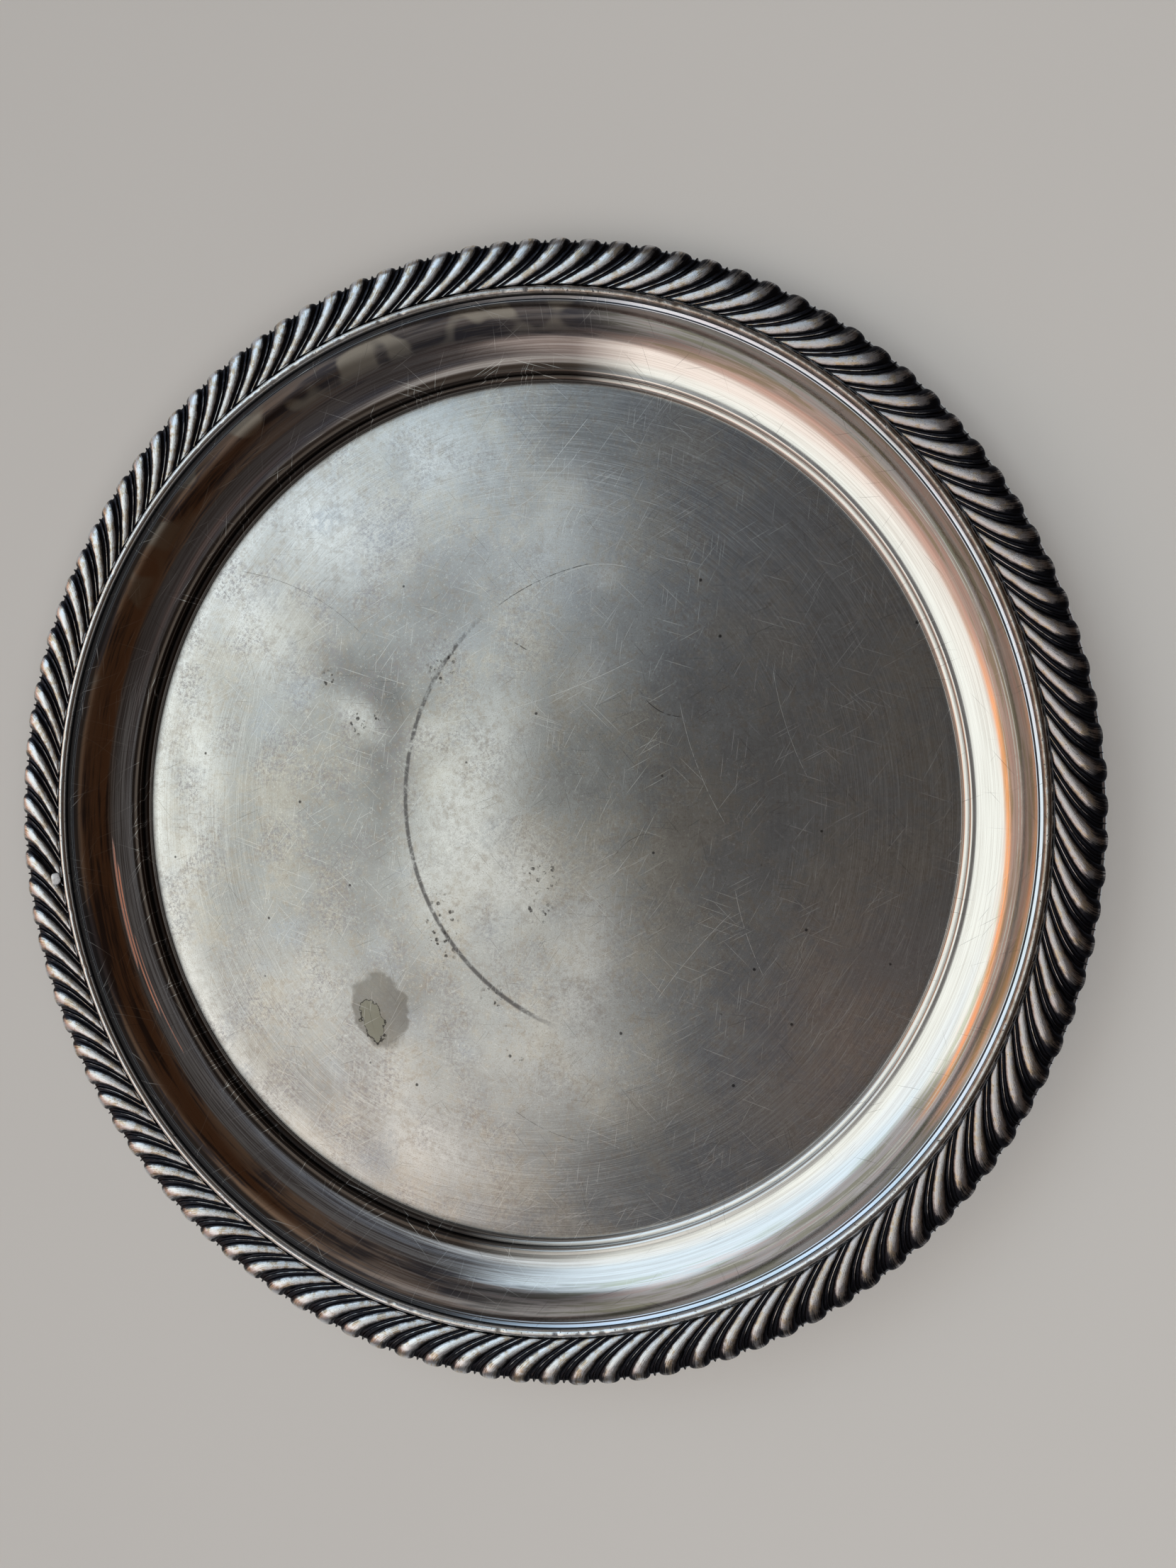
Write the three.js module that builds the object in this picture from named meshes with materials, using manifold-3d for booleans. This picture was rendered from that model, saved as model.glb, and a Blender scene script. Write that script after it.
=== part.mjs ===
// A round serving tray: a spun sheet body, a gadroon strip bent round its rim and
// closed at one joint, a bead wire inside the gadroons, and the solder that holds them.
// Millimetres, +Z up. The tray lies flat: the origin is the centre of its underside.

import * as THREE from 'three';
import { mergeVertices } from 'three/addons/utils/BufferGeometryUtils.js';
import Module from 'manifold-3d';

// ---- Driving dimensions ----

const TRAY_RADIUS = 152.5; // to the tips of the gadroons
const SHEET = 1.2; // thickness of the body's sheet
const WELL_RADIUS = 118.3; // flat serving surface
const RIDGE_RADIUS = 121.6; // top of the moulded step round the well
const RIDGE_RISE = 3.8; // height of that ridge above the well
const COVE_RADIUS = 20.7; // the hollow curve that lifts the rim
const COVE_LOW_SLOPE = 8; // degrees, where the cove leaves the ridge
const COVE_HIGH_SLOPE = 59; // degrees, where it meets the rim
const FLANGE_RADIUS = 152.1; // flat rim that carries the border
const SOLDER_FILM = 0.1; // between the flange and what is soldered to it

const BEAD_INNER = 137.9;
const BEAD_OUTER = 140.2;
const BEAD_HEIGHT = 2.3;

const BORDER_INNER = 140.5;
const GADROON_COUNT = 113; // a prime number: one strip, not a set of equal lengths
const GADROON_PHASE = 0.31; // of a pitch, from +X to the first gadroon
const GADROON_SWEEP = 1.65; // pitches that a gadroon travels from rim to bead
const GADROON_CURL = 2.05; // power of that curve: radial outside, tangential inside
const GADROON_HALF_WIDTH = 0.38; // of a pitch, from the crest to the valley floor
const GADROON_RELIEF = 1.2; // depth of the valleys at the outer edge
const GADROON_INNER_RELIEF = 0.4; // and beside the bead
const BORDER_HEIGHT = 3.3;
const WIDEST_HEIGHT = 1.5; // of the tips above the strip's seat
const CROWN_INSET = 4.5; // from the tips to the highest line of the strip
const INNER_DROP = 1.5; // from the crown down to the strip's inner edge
const FOOT_INSET = 0.6; // how far the strip's foot tucks in under the tips

const SEAM_PITCH = 57.5; // the valley where the strip's two ends meet
const SEAM_GAP = 0.05; // of a pitch

const CHANNEL_INNER = 142.4; // hollow back of the strip
const CHANNEL_OUTER = 149.6;
const CHANNEL_DEPTH = 1.1;
const CHANNEL_CHAMFER = 0.7;
const FILL_CLEARANCE = 0.1;

const PLUG_LENGTH = 3.2; // the drop of solder that closes the joint
const PLUG_WIDTH = 2.2;
const PLUG_HEIGHT = 0.8;
const PLUG_TAPER = 0.75; // its top is this much of its foot
const PLUG_OFFSET = 1.3; // from the strip's inner edge to the middle of the drop
const PLUG_TILT = 15; // degrees: it lies along the strip's slope
const PLUG_LIFT = 0.12; // clearance over the crests beside it

const LATHE_STEPS = 96;
const FACET_EDGES = [0, 0.22, 0.38, 0.62, 0.78]; // of a pitch, from each crest

// ---- Heights that follow ----

const wellTop = SHEET;
const ridgeTop = wellTop + RIDGE_RISE;
const lowSlope = THREE.MathUtils.degToRad(COVE_LOW_SLOPE);
const highSlope = THREE.MathUtils.degToRad(COVE_HIGH_SLOPE);
const coveCentre = {
  r: RIDGE_RADIUS - COVE_RADIUS * Math.sin(lowSlope),
  z: ridgeTop + COVE_RADIUS * Math.cos(lowSlope),
};
const flangeTop = coveCentre.z - COVE_RADIUS * Math.cos(highSlope);
const flangeUnder = flangeTop - SHEET;
const coveEdge = coveCentre.r + COVE_RADIUS * Math.sin(highSlope);
const seat = flangeTop + SOLDER_FILM;
const widest = seat + WIDEST_HEIGHT;
const crownRadius = TRAY_RADIUS - CROWN_INSET;

const wasm = await Module();
wasm.setup();

// ---- Materials ----

const silver = new THREE.MeshStandardMaterial({ color: 0xcfcbc2, roughness: 0.28, metalness: 1 });
const darkSilver = new THREE.MeshStandardMaterial({ color: 0x9c9890, roughness: 0.34, metalness: 1 });
const solder = new THREE.MeshStandardMaterial({ color: 0x9aa09c, roughness: 0.55, metalness: 1 });

// ---- Helpers ----

// Points on the cove's circle, or on one that is the sheet's thickness outside it.
function coveArc(radius, fromSlope, toSlope, steps) {
  const points = [];
  for (let i = 0; i <= steps; i += 1) {
    const slope = fromSlope + ((toSlope - fromSlope) * i) / steps;
    const r = coveCentre.r + radius * Math.sin(slope);
    const z = coveCentre.z - radius * Math.cos(slope);
    points.push(new THREE.Vector2(r, z));
  }
  return points;
}

// A profile of radius and height, turned about +Z.
function turned(points) {
  const geometry = new THREE.LatheGeometry(points, LATHE_STEPS);
  geometry.rotateX(Math.PI / 2);
  return geometry;
}

function toSolid(geometry) {
  const bare = geometry.clone();
  bare.deleteAttribute('normal');
  bare.deleteAttribute('uv');
  const welded = mergeVertices(bare, 1e-4);
  const mesh = new wasm.Mesh({
    numProp: 3,
    vertProperties: new Float32Array(welded.attributes.position.array),
    triVerts: new Uint32Array(welded.index.array),
  });
  return new wasm.Manifold(mesh);
}

function toGeometry(solid) {
  const mesh = solid.getMesh();
  const geometry = new THREE.BufferGeometry();
  geometry.setAttribute('position', new THREE.BufferAttribute(mesh.vertProperties, 3));
  geometry.setIndex(new THREE.BufferAttribute(mesh.triVerts, 1));
  geometry.computeVertexNormals();
  return geometry;
}

// ---- Body: well, moulded step, cove and flat flange in one piece of sheet ----

function trayBody() {
  const under = [
    new THREE.Vector2(0, 0),
    new THREE.Vector2(WELL_RADIUS + 0.7, 0),
    new THREE.Vector2(WELL_RADIUS + 1.6, 0.2),
    new THREE.Vector2(WELL_RADIUS + 2.4, 0.9),
    new THREE.Vector2(WELL_RADIUS + 3.1, 2.3),
  ];
  const outerCove = COVE_RADIUS + SHEET;
  const underSlope = Math.acos((coveCentre.z - flangeUnder) / outerCove);
  under.push(...coveArc(outerCove, lowSlope, underSlope, 6));
  const flange = [
    new THREE.Vector2(FLANGE_RADIUS - 0.2, flangeUnder),
    new THREE.Vector2(FLANGE_RADIUS, flangeUnder + 0.3),
    new THREE.Vector2(FLANGE_RADIUS, flangeTop - 0.2),
    new THREE.Vector2(FLANGE_RADIUS - 0.2, flangeTop),
  ];
  // a fine raised lip runs round the top of the cove
  const lip = [
    new THREE.Vector2(coveEdge + 0.65, flangeTop),
    new THREE.Vector2(coveEdge + 0.45, flangeTop + 0.2),
    new THREE.Vector2(coveEdge + 0.1, flangeTop + 0.2),
  ];
  const cove = coveArc(COVE_RADIUS, highSlope, lowSlope, 7);
  // the step is two rolls, the upper one ending in the ridge
  const step = [
    new THREE.Vector2(RIDGE_RADIUS - 0.6, ridgeTop - 0.35),
    new THREE.Vector2(RIDGE_RADIUS - 1.05, ridgeTop - 1.3),
    new THREE.Vector2(RIDGE_RADIUS - 1.25, ridgeTop - 2.4),
    new THREE.Vector2(WELL_RADIUS + 1.4, wellTop + 1.2),
    new THREE.Vector2(WELL_RADIUS + 0.5, wellTop + 0.8),
    new THREE.Vector2(WELL_RADIUS, wellTop),
  ];
  const top = [...lip, ...cove, ...step, new THREE.Vector2(0, wellTop)];
  return turned([...under, ...flange, ...top]);
}

// ---- Gadroon strip ----

// Height of the crests between the crown and the strip's inner edge.
function slopeHeight(r) {
  const along = (crownRadius - r) / (crownRadius - BORDER_INNER);
  return seat + BORDER_HEIGHT - INNER_DROP * along ** 1.5;
}

// The strip's cross-section along a gadroon's crest: from the foot, round the tip,
// over the crown and down to the bead. Each point carries the way its surface faces.
function crestSection() {
  const crownRise = BORDER_HEIGHT - WIDEST_HEIGHT;
  const points = [{ r: TRAY_RADIUS - FOOT_INSET, z: seat, nr: 0.6, nz: 0 }];
  for (const degrees of [0, 38, 68, 90]) {
    const a = THREE.MathUtils.degToRad(degrees);
    points.push({
      r: crownRadius + CROWN_INSET * Math.cos(a),
      z: widest + crownRise * Math.sin(a),
      nr: Math.cos(a),
      nz: Math.sin(a),
    });
  }
  for (const along of [0.55, 1]) {
    const r = THREE.MathUtils.lerp(crownRadius, BORDER_INNER, along);
    points.push({ r, z: slopeHeight(r), nr: 0, nz: 1 });
  }
  points.push({ r: BORDER_INNER, z: seat, nr: 0, nz: 0 });
  return points;
}

// 0 at the strip's outer edge, 1 at its inner edge.
function inward(r) {
  return (TRAY_RADIUS - r) / (TRAY_RADIUS - BORDER_INNER);
}

// How far the surface lies below the crest: 0 on the crest, 1 on the valley floor.
// A gadroon is half an ellipse across.
function valley(pitches) {
  const across = Math.abs(pitches - Math.round(pitches)) / GADROON_HALF_WIDTH;
  return across < 1 ? 1 - Math.sqrt(1 - across * across) : 1;
}

function stripPoint(point, pitches) {
  const u = Math.max(0, inward(point.r));
  const relief = THREE.MathUtils.lerp(GADROON_RELIEF, GADROON_INNER_RELIEF, u) * valley(pitches);
  const swept = pitches + GADROON_PHASE + GADROON_SWEEP * u ** GADROON_CURL;
  const angle = (swept / GADROON_COUNT) * 2 * Math.PI;
  const r = point.r - relief * point.nr;
  return [r * Math.cos(angle), r * Math.sin(angle), point.z - relief * point.nz];
}

function gadroonStrip() {
  const section = crestSection();
  const first = SEAM_PITCH + SEAM_GAP / 2;
  const last = SEAM_PITCH + GADROON_COUNT - SEAM_GAP / 2;
  const stations = [first];
  for (let crest = Math.floor(first); crest <= last; crest += 1) {
    for (const edge of FACET_EDGES) {
      if (crest + edge > first && crest + edge < last) {
        stations.push(crest + edge);
      }
    }
  }
  stations.push(last);

  const positions = [];
  for (const pitches of stations) {
    for (const point of section) {
      positions.push(...stripPoint(point, pitches));
    }
  }
  const index = [];
  const count = section.length;
  for (let s = 0; s + 1 < stations.length; s += 1) {
    for (let i = 0; i < count; i += 1) {
      const a = s * count + i;
      const b = s * count + ((i + 1) % count);
      index.push(a, a + count, b, b, a + count, b + count);
    }
  }
  const outline = section.map((point) => new THREE.Vector2(point.r, point.z));
  const cap = THREE.ShapeUtils.triangulateShape(outline, []);
  const lastRing = (stations.length - 1) * count;
  for (const [a, b, c] of cap) {
    index.push(a, b, c);
    index.push(lastRing + a, lastRing + c, lastRing + b);
  }
  const geometry = new THREE.BufferGeometry();
  geometry.setAttribute('position', new THREE.Float32BufferAttribute(positions, 3));
  geometry.setIndex(index);
  return geometry;
}

// The ring of space behind the strip, or the solder that fills it.
function channelRing(clearance, floor) {
  const inner = CHANNEL_INNER + clearance;
  const outer = CHANNEL_OUTER - clearance;
  const roof = seat + CHANNEL_DEPTH - clearance;
  const points = [
    new THREE.Vector2(inner, floor),
    new THREE.Vector2(outer, floor),
    new THREE.Vector2(outer, roof - CHANNEL_CHAMFER),
    new THREE.Vector2(outer - CHANNEL_CHAMFER, roof),
    new THREE.Vector2(inner + CHANNEL_CHAMFER, roof),
    new THREE.Vector2(inner, roof - CHANNEL_CHAMFER),
    new THREE.Vector2(inner, floor),
  ];
  return turned(points);
}

function gadroonBorder() {
  const hollow = toSolid(channelRing(0, seat - 1));
  return toGeometry(toSolid(gadroonStrip()).subtract(hollow));
}

// ---- Bead wire: flat foot, straight sides, round top ----

function beadWire() {
  const half = (BEAD_OUTER - BEAD_INNER) / 2;
  const middle = BEAD_INNER + half;
  const points = [new THREE.Vector2(BEAD_INNER, seat), new THREE.Vector2(BEAD_OUTER, seat)];
  for (const degrees of [0, 45, 90, 135, 180]) {
    const a = THREE.MathUtils.degToRad(degrees);
    const z = seat + BEAD_HEIGHT - half + half * Math.sin(a);
    points.push(new THREE.Vector2(middle + half * Math.cos(a), z));
  }
  points.push(points[0].clone());
  return turned(points);
}

// ---- Joint solder: a squarish drop in the seam's valley, beside the bead ----

function jointSolder() {
  const geometry = new THREE.BoxGeometry(PLUG_WIDTH, PLUG_LENGTH, PLUG_HEIGHT);
  const position = geometry.attributes.position;
  for (let i = 0; i < position.count; i += 1) {
    if (position.getZ(i) > 0) {
      position.setX(i, position.getX(i) * PLUG_TAPER);
      position.setY(i, position.getY(i) * PLUG_TAPER);
    }
  }
  geometry.translate(0, 0, PLUG_HEIGHT / 2);
  return geometry;
}

function placeJointSolder(mesh) {
  const radius = BORDER_INNER + PLUG_OFFSET;
  const u = inward(radius);
  const pitches = SEAM_PITCH + GADROON_PHASE + GADROON_SWEEP * u ** GADROON_CURL;
  const angle = (pitches / GADROON_COUNT) * 2 * Math.PI;
  const foot = slopeHeight(radius) + PLUG_LIFT;
  mesh.position.set(radius * Math.cos(angle), radius * Math.sin(angle), foot);
  mesh.rotation.set(0, -THREE.MathUtils.degToRad(PLUG_TILT), angle, 'ZYX');
}

// ---- Assembly ----

function named(name, geometry, material) {
  const mesh = new THREE.Mesh(geometry, material);
  mesh.name = name;
  return mesh;
}

const group = new THREE.Group();
group.add(named('tray_body', trayBody(), silver.clone()));
group.add(named('gadroon_border', gadroonBorder(), darkSilver.clone()));
group.add(named('bead_wire', beadWire(), darkSilver.clone()));
group.add(named('border_solder_fill', channelRing(FILL_CLEARANCE, seat), solder.clone()));
const plug = named('joint_solder', jointSolder(), solder.clone());
placeJointSolder(plug);
group.add(plug);

export default group;
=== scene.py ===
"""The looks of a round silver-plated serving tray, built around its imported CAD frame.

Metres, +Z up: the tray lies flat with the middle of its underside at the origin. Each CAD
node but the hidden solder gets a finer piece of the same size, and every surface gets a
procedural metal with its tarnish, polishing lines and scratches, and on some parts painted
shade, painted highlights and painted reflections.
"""

import math
from types import SimpleNamespace

import bpy
import numpy as np
from mathutils import Matrix, Vector


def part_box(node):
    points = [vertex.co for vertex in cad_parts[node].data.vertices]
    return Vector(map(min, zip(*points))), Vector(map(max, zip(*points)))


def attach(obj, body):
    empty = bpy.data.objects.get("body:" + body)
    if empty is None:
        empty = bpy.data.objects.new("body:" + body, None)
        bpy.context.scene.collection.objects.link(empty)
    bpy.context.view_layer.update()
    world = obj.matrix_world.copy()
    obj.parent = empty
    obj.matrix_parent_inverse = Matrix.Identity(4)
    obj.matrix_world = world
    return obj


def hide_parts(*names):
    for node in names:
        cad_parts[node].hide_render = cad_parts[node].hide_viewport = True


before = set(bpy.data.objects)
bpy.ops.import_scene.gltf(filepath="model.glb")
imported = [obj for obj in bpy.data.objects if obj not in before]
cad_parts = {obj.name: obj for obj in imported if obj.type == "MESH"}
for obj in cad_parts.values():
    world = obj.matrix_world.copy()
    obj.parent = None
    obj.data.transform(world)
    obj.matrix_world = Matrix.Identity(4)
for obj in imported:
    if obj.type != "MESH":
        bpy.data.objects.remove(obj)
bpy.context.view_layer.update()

MM = 0.001
SEED = 7

# ---- Sizes, from the frame and from the design ----

body_low, body_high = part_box("tray_body")
strip_low, strip_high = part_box("gadroon_border")
bead_low, bead_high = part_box("bead_wire")
drop_low, drop_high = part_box("joint_solder")

TRAY_RADIUS = 152.5 * MM
WELL_RADIUS = 118.3 * MM
RIDGE_RADIUS = 121.6 * MM
COVE_RADIUS = 20.7 * MM
COVE_LOW = math.radians(8)
COVE_HIGH = math.radians(59)
SHEET = 1.2 * MM
BEAD_INNER = 137.9 * MM
STRIP_INNER = 140.5 * MM
WIDEST_HEIGHT = 1.5 * MM
CROWN_INSET = 4.5 * MM
INNER_DROP = 1.5 * MM
FOOT_INSET = 0.6 * MM
UNDER_BEND = 2.2 * MM
EDGE_ROUND = 0.35 * MM
UPPER_ROLL = 1.05 * MM
LOWER_ROLL = 1.25 * MM
LIP_ROUND = 0.30 * MM
WAVE_HEIGHT = 0.06 * MM
HOLLOW_INNER = 142.4 * MM
HOLLOW_OUTER = 149.6 * MM
HOLLOW_HEIGHT = 1.1 * MM
HOLLOW_BEND = 0.7 * MM
STRIP_LIP = 0.7 * MM
DROP_HALF_SIZE = (1.25, 1.7, 0.68)
BODY_STEPS = 480
BEAD_STEPS = 1200
BEAD_DENTS = 70

GADROONS = 113
GADROON_PHASE = 0.31
GADROON_SWEEP = 1.65
GADROON_CURL = 2.05
GADROON_CENTRE = -0.02
GADROON_HALF = 0.35
REED_CENTRE = 0.47
REED_TOP = 0.4
RELIEF_OUTER = 1.25
RELIEF_FALL = 0.75
SEAM_PITCH = 57.5
SEAM_GAP = 0.05

UNDERSIDE = body_low.z
WELL_TOP = UNDERSIDE + SHEET
FLANGE_RADIUS = body_high.x
SEAT = strip_low.z
CROWN_TOP = strip_high.z
FLANGE_TOP = SEAT - 0.1 * MM
RIDGE_TOP = WELL_TOP + 3.8 * MM
COVE_R = RIDGE_RADIUS - COVE_RADIUS * math.sin(COVE_LOW)
COVE_Z = RIDGE_TOP + COVE_RADIUS * math.cos(COVE_LOW)
COVE_EDGE = COVE_R + COVE_RADIUS * math.sin(COVE_HIGH)
CROWN_RADIUS = TRAY_RADIUS - CROWN_INSET
FLANGE_BEND = TRAY_RADIUS - 8 * MM


# ---- Mesh helpers ----


def grid_faces(rows, columns, close_rows, close_columns):
    """Quads between neighbouring points of a grid, which may close on itself either way."""
    r = np.arange(rows if close_rows else rows - 1)
    c = np.arange(columns if close_columns else columns - 1)
    a, b = np.meshgrid(r, c, indexing="ij")
    a1 = (a + 1) % rows
    b1 = (b + 1) % columns
    corners = [a * columns + b, a1 * columns + b, a1 * columns + b1, a * columns + b1]
    return np.stack(corners, -1).reshape(-1, 4)


def make_piece(name, points, faces, node, sharp_degrees=50):
    """A smooth-shaded object that rides on the body and stands for a CAD node."""
    mesh = bpy.data.meshes.new(name)
    mesh.from_pydata(points.tolist(), [], [list(face) for face in faces])
    mesh.validate()
    mesh.shade_smooth()
    mesh.set_sharp_from_angle(angle=math.radians(sharp_degrees))
    piece = bpy.data.objects.new(name, mesh)
    bpy.context.scene.collection.objects.link(piece)
    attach(piece, "root")
    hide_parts(node)
    return piece


def store(piece, name, values):
    """Keeps one number for each point, for the material to read."""
    attribute = piece.data.attributes.new(name, "FLOAT", "POINT")
    attribute.data.foreach_set("value", np.asarray(values, np.float32).ravel())


def turn(profile, steps):
    """A grid of points: each row is the profile at one angle about +Z."""
    angle = np.arange(steps) * 2 * math.pi / steps
    r, z = np.asarray(profile).T
    x = np.outer(np.cos(angle), r)
    y = np.outer(np.sin(angle), r)
    return np.stack([x, y, np.broadcast_to(z, x.shape)], -1)


def arc(centre, radius, start, end, steps):
    """Points round a circle in the (radius, height) plane, angles in degrees."""
    a = np.radians(np.linspace(start, end, steps + 1))
    return [(centre[0] + radius * math.cos(t), centre[1] + radius * math.sin(t)) for t in a]


# ---- Body: well, step, cove, lip and flange in one sheet ----


def body_profile():
    """From the middle of the underside out to the flange's edge and back over the top.
    Returns the points and, for each, how much its corner is darkened."""
    points = []
    dirt = []

    def add(new, amount=0.0):
        for point in new:
            points.append(point)
            dirt.append(amount)

    def slope_angle(slope):
        return math.degrees(slope) - 90

    outer = COVE_RADIUS + SHEET
    under_slope = math.acos((COVE_Z - (FLANGE_TOP - SHEET)) / outer)
    add([(WELL_RADIUS * k / 8, UNDERSIDE) for k in range(1, 9)])
    bend_middle = (WELL_RADIUS + 0.2 * MM, UNDERSIDE + UNDER_BEND)
    add(arc(bend_middle, UNDER_BEND, -88, -20, 6), 0.3)
    add([(WELL_RADIUS + 2.5 * MM, UNDERSIDE + UNDER_BEND)], 0.6)
    add(arc((COVE_R, COVE_Z), outer, slope_angle(COVE_LOW), slope_angle(under_slope), 16))
    edge = FLANGE_RADIUS - EDGE_ROUND
    add([(FLANGE_BEND, FLANGE_TOP - SHEET)])
    middle = FLANGE_TOP - SHEET / 2
    for a in np.radians(np.linspace(-90, 90, 9)):
        add([(edge + EDGE_ROUND * math.cos(a), middle + SHEET / 2 * math.sin(a))])
    add([(FLANGE_BEND, FLANGE_TOP)], 0.8)
    add([(BEAD_INNER, FLANGE_TOP)], 1.0)
    add([(BEAD_INNER - 0.03 * MM, FLANGE_TOP + 0.42 * MM)], 0.6)
    add([(BEAD_INNER - 0.08 * MM, FLANGE_TOP + 0.46 * MM)], 0.2)
    add([(BEAD_INNER - 0.40 * MM, FLANGE_TOP + 0.29 * MM)], 0.0)
    add([(BEAD_INNER - 0.70 * MM, FLANGE_TOP + 0.15 * MM)], 0.0)
    add([(BEAD_INNER - 0.86 * MM, FLANGE_TOP + 0.09 * MM)], 0.9)
    add(arc((COVE_EDGE + 0.25 * MM, FLANGE_TOP - 0.02 * MM), LIP_ROUND, 30, 150, 8))
    add([(COVE_EDGE - 0.02 * MM, FLANGE_TOP - 0.02 * MM)], 0.5)
    add(arc((COVE_R, COVE_Z), COVE_RADIUS, slope_angle(COVE_HIGH), slope_angle(COVE_LOW), 30))
    upper = (RIDGE_RADIUS - 0.3 * MM, RIDGE_TOP - UPPER_ROLL)
    add(arc(upper, UPPER_ROLL, 98, 175, 10), 0.12)
    add([(RIDGE_RADIUS - 1.35 * MM, WELL_TOP + 2.0 * MM)], 0.7)
    add([(RIDGE_RADIUS - 1.42 * MM, WELL_TOP + 1.5 * MM)], 1.0)
    lower = (WELL_RADIUS + 1.55 * MM, WELL_TOP + 0.15 * MM)
    add(arc(lower, LOWER_ROLL, 96, 172, 9), 0.12)
    add([(WELL_RADIUS + 0.18 * MM, WELL_TOP + 0.04 * MM)], 1.0)
    add([(WELL_RADIUS, WELL_TOP)], 0.8)
    add([(WELL_RADIUS - 0.6 * MM, WELL_TOP)], 0.25)
    rings = 40
    add([((WELL_RADIUS - 2 * MM) * (rings - k) / rings, WELL_TOP) for k in range(rings)])
    return np.array(points), np.array(dirt)


def gentle_waves(x, y, seed, amount):
    """The slight unevenness of a spun sheet: a few long waves that cross."""
    random = np.random.RandomState(seed)
    height = np.zeros_like(x)
    for _ in range(9):
        direction = random.uniform(0, 2 * math.pi)
        length = random.uniform(34, 95) * MM
        shift = random.uniform(0, 2 * math.pi)
        across = x * math.cos(direction) + y * math.sin(direction)
        height += np.sin(across * 2 * math.pi / length + shift) * length / (95 * MM)
    return height * amount / 3


# Soft patches of the well, part tarnish and part painted light: the first list is painted sheen,
# the second painted shade. (x, y, half length, half width in mm, turn in degrees, amount).
PALE_PATCHES = [
    (-16, -8, 15, 24, 12, 0.85),
    (-10, 16, 12, 20, -25, 0.6),
    (-1, -18, 9, 12, 0, 0.75),
    (18, -42, 9, 22, -8, 0.6),
    (20, 36, 7, 9, 0, 0.35),
    (-50, 27, 9, 5, -35, 0.6),
    (-28, 22, 6, 4, 30, 0.6),
    (-27, -24, 8, 13, 30, 0.4),
    (-27, 97, 7, 8, 0, 0.5),
    (-103, 20, 8, 24, 8, 0.8),
    (-88, 60, 11, 26, 36, 0.75),
    (-62, 84, 15, 24, 52, 0.8),
    (-30, 104, 10, 22, 80, 0.5),
    (-108, -18, 6, 24, -10, 0.6),
    (-28, -96, 20, 9, -16, 0.7),
    (-40, -78, 12, 12, 0, 0.4),
    (-64, -52, 14, 14, 0, 0.35),
    (6, -70, 20, 14, -20, 0.3),
    (24, 64, 4, 3, 0, 0.5),
    (10, 79, 24, 7, 65, 0.3),
]
DULL_PATCHES = [
    (-48, 36, 22, 13, -28, 0.85),
    (-40, 13, 10, 22, 0, 0.8),
    (-43, 24, 9, 10, 0, 0.6),
    (-82, -82, 7, 9, 40, 0.6),
    (-54, -6, 26, 50, 0, 0.42),
    (-40, 62, 22, 14, 20, 0.4),
    (-24, 58, 18, 13, 20, 0.35),
    (-38, 100, 6, 7, 0, 0.4),
    (18, 100, 15, 9, -20, 0.6),
    (-46, -90, 6, 20, 3, 0.65),
    (-66, -82, 8, 12, 40, 0.4),
    (-86, -72, 6, 18, 40, 0.5),
    (-90, -16, 7, 24, -8, 0.35),
    (-36, -52, 9, 10, 0, 0.45),
    (26, -92, 24, 15, 0, 0.45),
    (66, 16, 34, 60, 0, 0.1),
]


def patches(x, y, rows):
    """How strongly soft elliptical patches cover each point, from 0 to 1."""
    clear = np.ones_like(x)
    for centre_x, centre_y, half_x, half_y, degrees, amount in rows:
        a = math.radians(degrees)
        dx = x / MM - centre_x
        dy = y / MM - centre_y
        along = (dx * math.cos(a) + dy * math.sin(a)) / half_x
        across = (dy * math.cos(a) - dx * math.sin(a)) / half_y
        clear *= 1 - amount * np.exp(-1.1 * (along**2 + across**2))
    return 1 - clear


def round_rim(angle, start, full, last, end):
    """1 between two directions, in degrees round the tray, fading to 0 outside them."""
    degrees = np.degrees(angle) % 360
    rise = np.clip((degrees - start) / (full - start), 0, 1)
    fall = np.clip((end - degrees) / (end - last), 0, 1)
    return np.minimum(rise, fall)


def spun_body():
    steps = BODY_STEPS
    profile, dirt = body_profile()
    grid = turn(profile, steps)
    x, y = grid[..., 0], grid[..., 1]
    inside = np.clip((WELL_RADIUS - np.hypot(x, y)) / (25 * MM), 0, 1)
    grid[..., 2] += gentle_waves(x, y, SEED, WAVE_HEIGHT) * inside * inside * (3 - 2 * inside)
    count = len(profile)
    faces = grid_faces(steps, count, True, False).tolist()
    under_middle = steps * count
    top_middle = under_middle + 1
    middle_z = float(grid[:, -1, 2].mean())
    points = np.concatenate([grid.reshape(-1, 3), [[0, 0, UNDERSIDE], [0, 0, middle_z]]])
    for s in range(steps):
        following = (s + 1) % steps
        faces.append((s * count, following * count, under_middle))
        faces.append((following * count + count - 1, s * count + count - 1, top_middle))
    piece = make_piece("spun_body", points, faces, "tray_body", 60)
    x, y = points[:, 0], points[:, 1]
    angle = np.arctan2(y, x)
    # tarnished: the -X half of the rim, greyed and darkened as part tarnish and part painted
    # shade
    tarnished = round_rim(angle, 73, 82, 262, 284)
    # dirt: each corner darkened, more on the -X half, which is part painted shade
    store(piece, "dirt", np.append(np.tile(dirt, steps), [0, 0]) * (0.55 + 0.45 * tarnished))
    # rim_light: a painted highlight along the well's edge towards -X, kept with the lighter
    # patches
    rim_light = np.clip((np.hypot(x, y) - 103 * MM) / (14 * MM), 0, 1) ** 2
    rim_light = rim_light * round_rim(angle, 108, 140, 215, 262)
    # Lighter and darker soft patches on the well: part tarnish, part painted sheen and painted
    # shade.
    store(piece, "pale", np.maximum(patches(x, y, PALE_PATCHES), rim_light))
    store(piece, "dull", patches(x, y, DULL_PATCHES))
    # browned: the copper-brown band towards -X, part tarnish and part painted shade
    store(piece, "browned", round_rim(angle, 112, 140, 238, 268))
    store(piece, "tarnished", tarnished)
    return piece


# ---- Gadroon strip ----


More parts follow.
